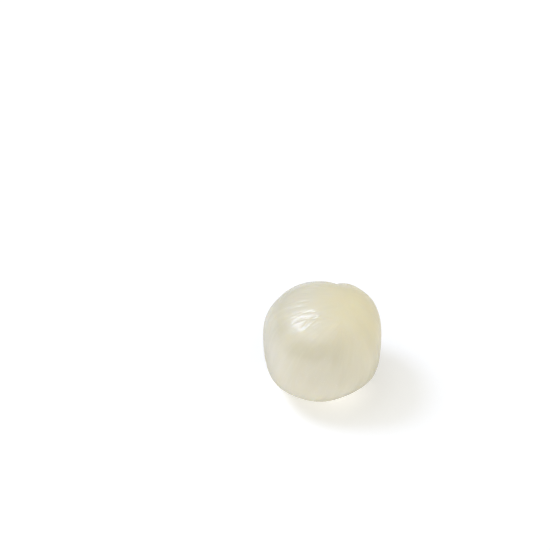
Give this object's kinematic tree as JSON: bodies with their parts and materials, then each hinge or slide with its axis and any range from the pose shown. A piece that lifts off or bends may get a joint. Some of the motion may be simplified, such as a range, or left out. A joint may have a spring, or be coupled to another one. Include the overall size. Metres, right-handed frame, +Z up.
{
  "type": "hard candy",
  "caption": "Unwrapped satin hard candy: a near-round ball of pulled sugar with soft pressed flats, a pinched seam and a crease, resting on a small flat spot.",
  "frame": {"origin": "under the middle of the bounding box, in the plane of the flat spot it rests on", "axes": "+Z is up; -Y is the side that faces the viewer in the picture; +X is to that viewer's right"},
  "size_m": [0.0198, 0.0208, 0.0198],
  "materials": {
    "satin_sugar": "milky cream pulled sugar, faintly translucent, with a silky satin gloss and fine streaks from seam to seam"
  },
  "bodies": {
    "root": {"hard_candy": "satin_sugar"}
  },
  "joints": []
}
